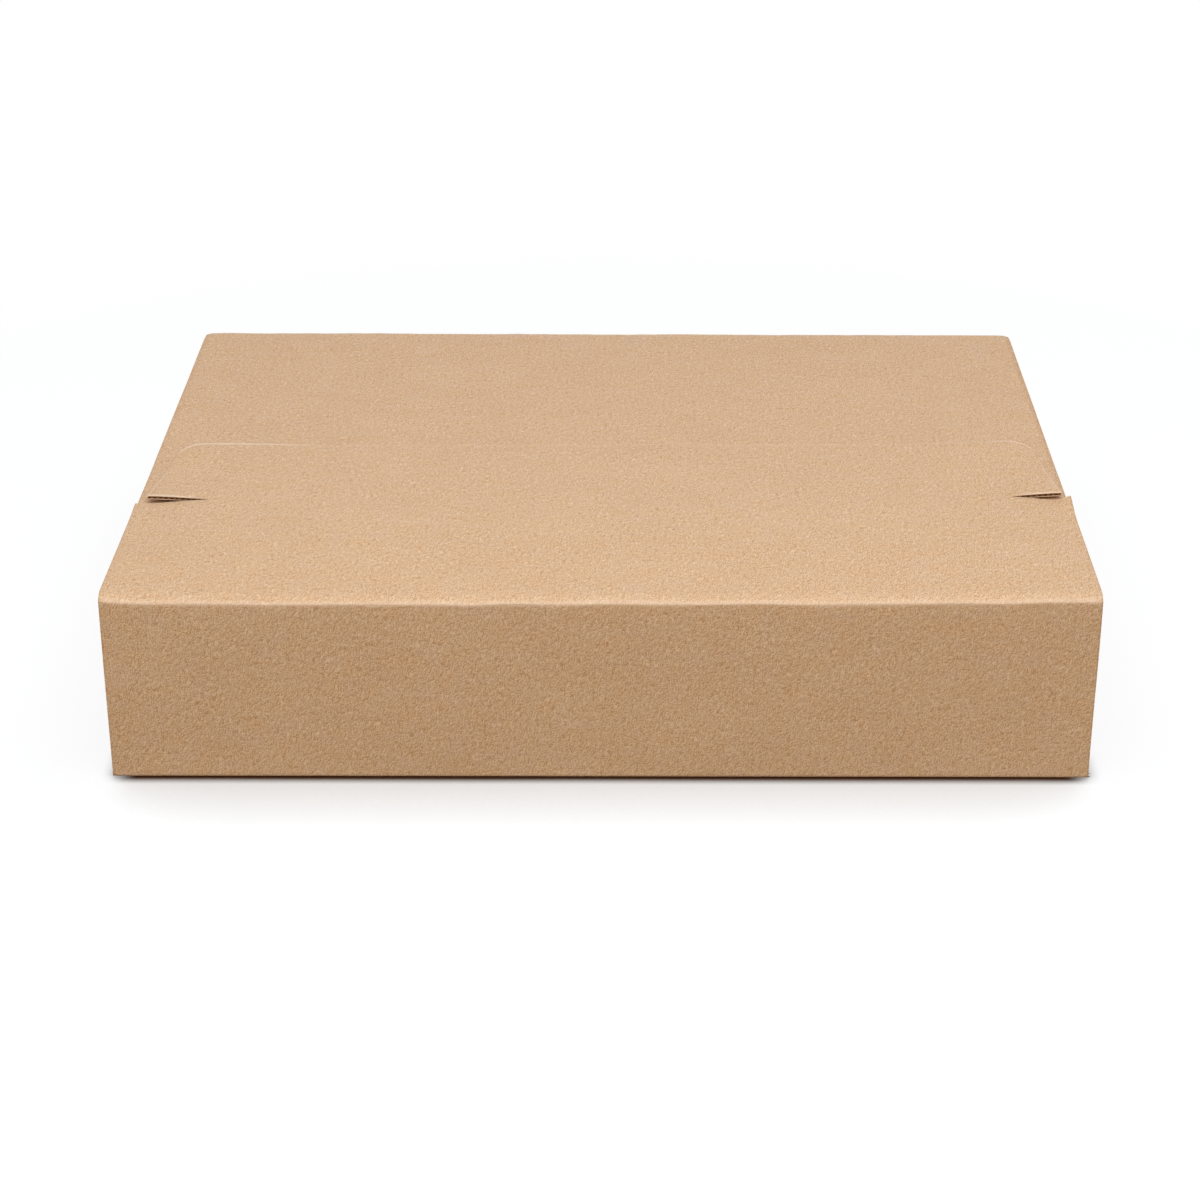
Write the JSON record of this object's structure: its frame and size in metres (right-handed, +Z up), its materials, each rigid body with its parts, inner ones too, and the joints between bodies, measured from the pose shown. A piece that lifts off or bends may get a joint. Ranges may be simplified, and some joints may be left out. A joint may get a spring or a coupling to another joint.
{
  "type": "book wrap mailer",
  "caption": "Folded kraft board wrap mailer for books, with a wide closing flap that laps over the rear panel and ends in a tapered tongue between side slits.",
  "frame": {"origin": "bottom centre of the folded wrap, on the surface that it stands on", "axes": "+X to the right along the long side, +Y from the front wall to the rear wall, +Z up"},
  "size_m": [0.35, 0.28, 0.0732],
  "materials": {
    "kraft_board": "matte",
    "glue": "satin",
    "liner_paper": "satin"
  },
  "bodies": {
    "wrap": {"wrap_sheet": "kraft_board"},
    "flap": {"closing_flap": "kraft_board", "seal_strip": "glue", "release_liner": "liner_paper"}
  },
  "joints": [
    {"name": "closing_flap_fold", "type": "hinge", "parent": "wrap", "child": "flap", "pos_m": [0, -0.1393, 0.0707], "axis": [1, 0, 0], "range_deg": [0, 180]}
  ]
}
